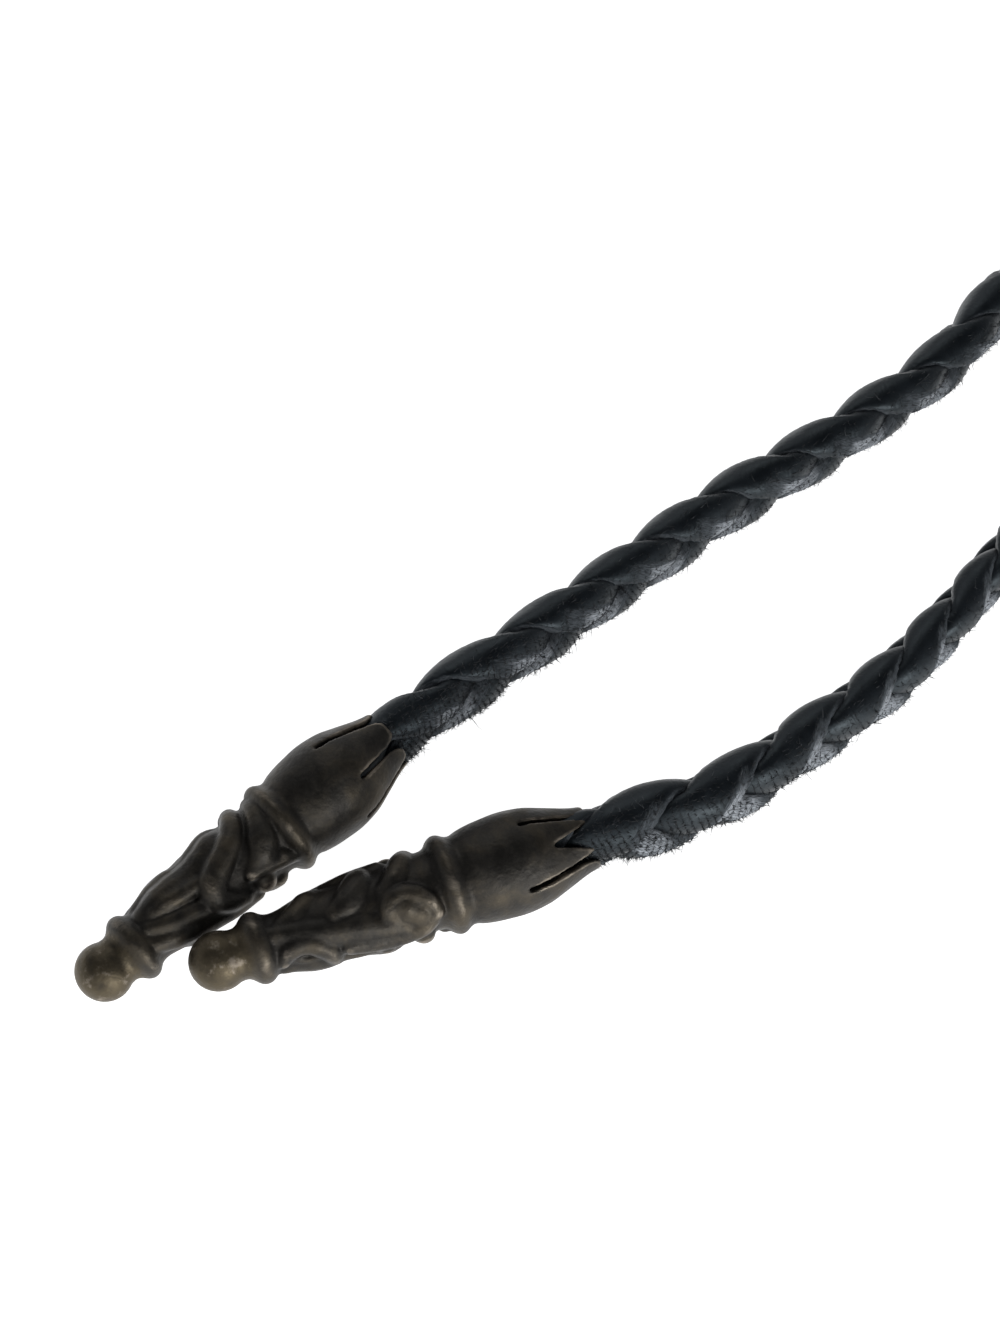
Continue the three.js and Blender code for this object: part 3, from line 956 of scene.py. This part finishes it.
def light_room(scene):
    """Soft light from all round, bright at the horizon and dim overhead."""
    world = bpy.data.worlds.new("studio")
    world.use_nodes = True
    room = Nodes(world.node_tree)
    direction = room.node("ShaderNodeTexCoord", {}, {}, "Generated")
    height = room.node("ShaderNodeSeparateXYZ", {}, [direction], "Z")
    stops = [(0.0, (0.95, 0.96, 1.0)), (0.75, (0.07, 0.075, 0.085))]
    background = world.node_tree.nodes["Background"]
    room.feed(background.inputs["Color"], room.node("ShaderNodeValToRGB", {"stops": stops}, [height]))
    room.feed(background.inputs["Strength"], 0.7)
    scene.world = world


def hang_lights(key_power):
    """Three soft square lights, turned towards the caps."""
    for name, (place, size, share) in LIGHTS.items():
        light = bpy.data.lights.new(name, "AREA")
        light.size = size
        light.energy = share * key_power
        lamp = add(name, light)
        lamp.location = place
        lamp.rotation_euler = (Vector(LOOK_AT) - Vector(place)).to_track_quat("-Z", "Y").to_euler()


# ---------------------------------------------------------------- add-on


def length(name, description, default, **more):
    return FloatProperty(name=name, description=description, default=default, unit="LENGTH", **more)


def size(name, description, default):
    return length(name, description, default, precision=5)


def degrees(name, description, default):
    return FloatProperty(name=name, description=description + ", in degrees", default=default)


def colour(name, description, default):
    return FloatVectorProperty(name=name, description=description, subtype="COLOR", default=default)


class LaceSettings(bpy.types.PropertyGroup):
    lace_width: size("Lace width", "Width of one lace", 0.0037)
    lace_thickness: size("Lace thickness", "Thickness of one lace", 0.0027)
    bow_radius: size("Bow radius", "Radius that a lace bends to across its width", 0.0032)
    swing: size("Swing", "How far a lace's middle swings to each side of the plait", 0.00155)
    depth: size("Depth", "How far a lace's middle goes to the front and back", 0.0009)
    upper_lean: degrees("Upper lean", "How far a lace's turning lags behind its swing at the upper cap", -8)
    lower_lean: degrees("Lower lean", "How far a lace's turning lags behind its swing at the lower cap", 0)
    upper_phase: degrees("Upper phase", "Where the first lace starts its swing at the upper cap", 28)
    lower_phase: degrees("Lower phase", "Where a lace ends its swing at the lower cap", 13)
    upper_face: degrees("Upper face", "From the top to the plait's front at the upper cap", 74)
    lower_face: degrees("Lower face", "From the top to the plait's front at the lower cap", 277)
    leather: colour("Leather", "Colour of the grain side", (0.0045, 0.006, 0.008))
    fibres: IntProperty(name="Fibres", description="How many loose hairs are made", default=19000)
    dust: colour("Fibre dust", "Colour of the dustiest hairs", (0.045, 0.05, 0.055))


class CapSettings(bpy.types.PropertyGroup):
    dark: colour("Oxide", "Colour of the silver in its hollows", (0.022, 0.0202, 0.0175))
    worn: colour("Rubbed silver", "Colour of the silver on its crests", (0.075, 0.069, 0.06))
    voxel: FloatProperty(name="Casting detail", description="Finest form, in millimetres", default=0.13)


class StageSettings(bpy.types.PropertyGroup):
    camera_distance: length("Camera distance", "From the camera to the place it looks at", 0.26)
    lens: FloatProperty(name="Lens", description="Focal length in millimetres", default=76.5)
    key_power: FloatProperty(
        name="Key light", description="Power of the soft key light", default=1.5, unit="POWER"
    )


class NECKLACE_OT_stage(bpy.types.Operator):
    """Set up the white table, the soft light and the camera"""

    bl_idname = "necklace.stage"
    bl_label = "Table, light and camera"

    def execute(self, context):
        s = context.scene.necklace_stage
        aim_camera(context.scene, s.camera_distance, s.lens)
        lay_table()
        light_room(context.scene)
        hang_lights(s.key_power)
        context.scene.view_settings.view_transform = "Standard"
        return {"FINISHED"}


class NECKLACE_OT_laces(bpy.types.Operator):
    """Plait the three leather laces along the cord's centre line"""

    bl_idname = "necklace.laces"
    bl_label = "Leather laces"

    def execute(self, context):
        s = context.scene.necklace_laces
        plait = Plait(s)
        paint = leather_paint(tuple(s.leather))
        laces = [weave_lace(plait, number) for number in range(3)]
        for lace in laces:
            ride_and_finish(lace, paint, "leather", "braided_cord")
        [tuple(place) for place in plait.centre[::PATH_ROWS]] + [tuple(plait.centre[-1])]
        return {"FINISHED"}


class NECKLACE_OT_fibres(bpy.types.Operator):
    """Fray the front of the laces with loose hairs"""

    bl_idname = "necklace.fibres"
    bl_label = "Loose fibres"

    def execute(self, context):
        s = context.scene.necklace_laces
        ride_and_finish(fray(Plait(s), s.fibres), fibre_paint(tuple(s.dust)), "leather")
        return {"FINISHED"}


class NECKLACE_OT_end_caps(bpy.types.Operator):
    """Cast the two silver end caps from one pattern and lay them in their places"""

    bl_idname = "necklace.end_caps"
    bl_label = "Silver end caps"

    def execute(self, context):
        s = context.scene.necklace_caps
        paint = silver_paint(tuple(s.dark), tuple(s.worn))
        upper = cast_cap("upper_cap_casting", s.voxel)
        lower = add("lower_cap_casting", upper.data.copy())
        lower.data.name = lower.name
        for cap, seat, node in ((upper, UPPER_CAP, "end_cap_upper"), (lower, LOWER_CAP, "end_cap_lower")):
            lay_cap(cap, seat)
            ride_and_finish(cap, paint, "silver", node)
            pick(cap)
            bpy.ops.object.shade_smooth()
            if 2 * len(cap.data.polygons) > MOST_TRIANGLES:
                raise RuntimeError(f"{cap.name} has {len(cap.data.polygons)} faces")
        return {"FINISHED"}


class NECKLACE_PT_panel(bpy.types.Panel):
    """Steps and sizes of the necklace"""

    bl_label = "Braided Necklace"
    bl_idname = "NECKLACE_PT_panel"
    bl_space_type = "VIEW_3D"
    bl_region_type = "UI"
    bl_category = "Necklace"

    def draw(self, context):
        for operator, group in (
            ("necklace.stage", "necklace_stage"),
            ("necklace.laces", "necklace_laces"),
            ("necklace.fibres", None),
            ("necklace.end_caps", "necklace_caps"),
        ):
            self.layout.operator(operator)
            if group:
                settings = getattr(context.scene, group)
                for name in settings.__annotations__:
                    self.layout.prop(settings, name)


GROUPS = {"necklace_laces": LaceSettings, "necklace_caps": CapSettings, "necklace_stage": StageSettings}
CLASSES = (
    *GROUPS.values(), NECKLACE_OT_stage, NECKLACE_OT_laces, NECKLACE_OT_fibres, NECKLACE_OT_end_caps,
    NECKLACE_PT_panel,
)


def register():
    for cls in CLASSES:
        bpy.utils.register_class(cls)
    for name, group in GROUPS.items():
        setattr(bpy.types.Scene, name, PointerProperty(type=group))


def unregister():
    for name in GROUPS:
        delattr(bpy.types.Scene, name)
    for cls in reversed(CLASSES):
        bpy.utils.unregister_class(cls)


def main():
    register()
    bpy.ops.necklace.stage()
    bpy.ops.necklace.laces()
    bpy.ops.necklace.fibres()
    bpy.ops.necklace.end_caps()


if __name__ == "__main__":
    main()
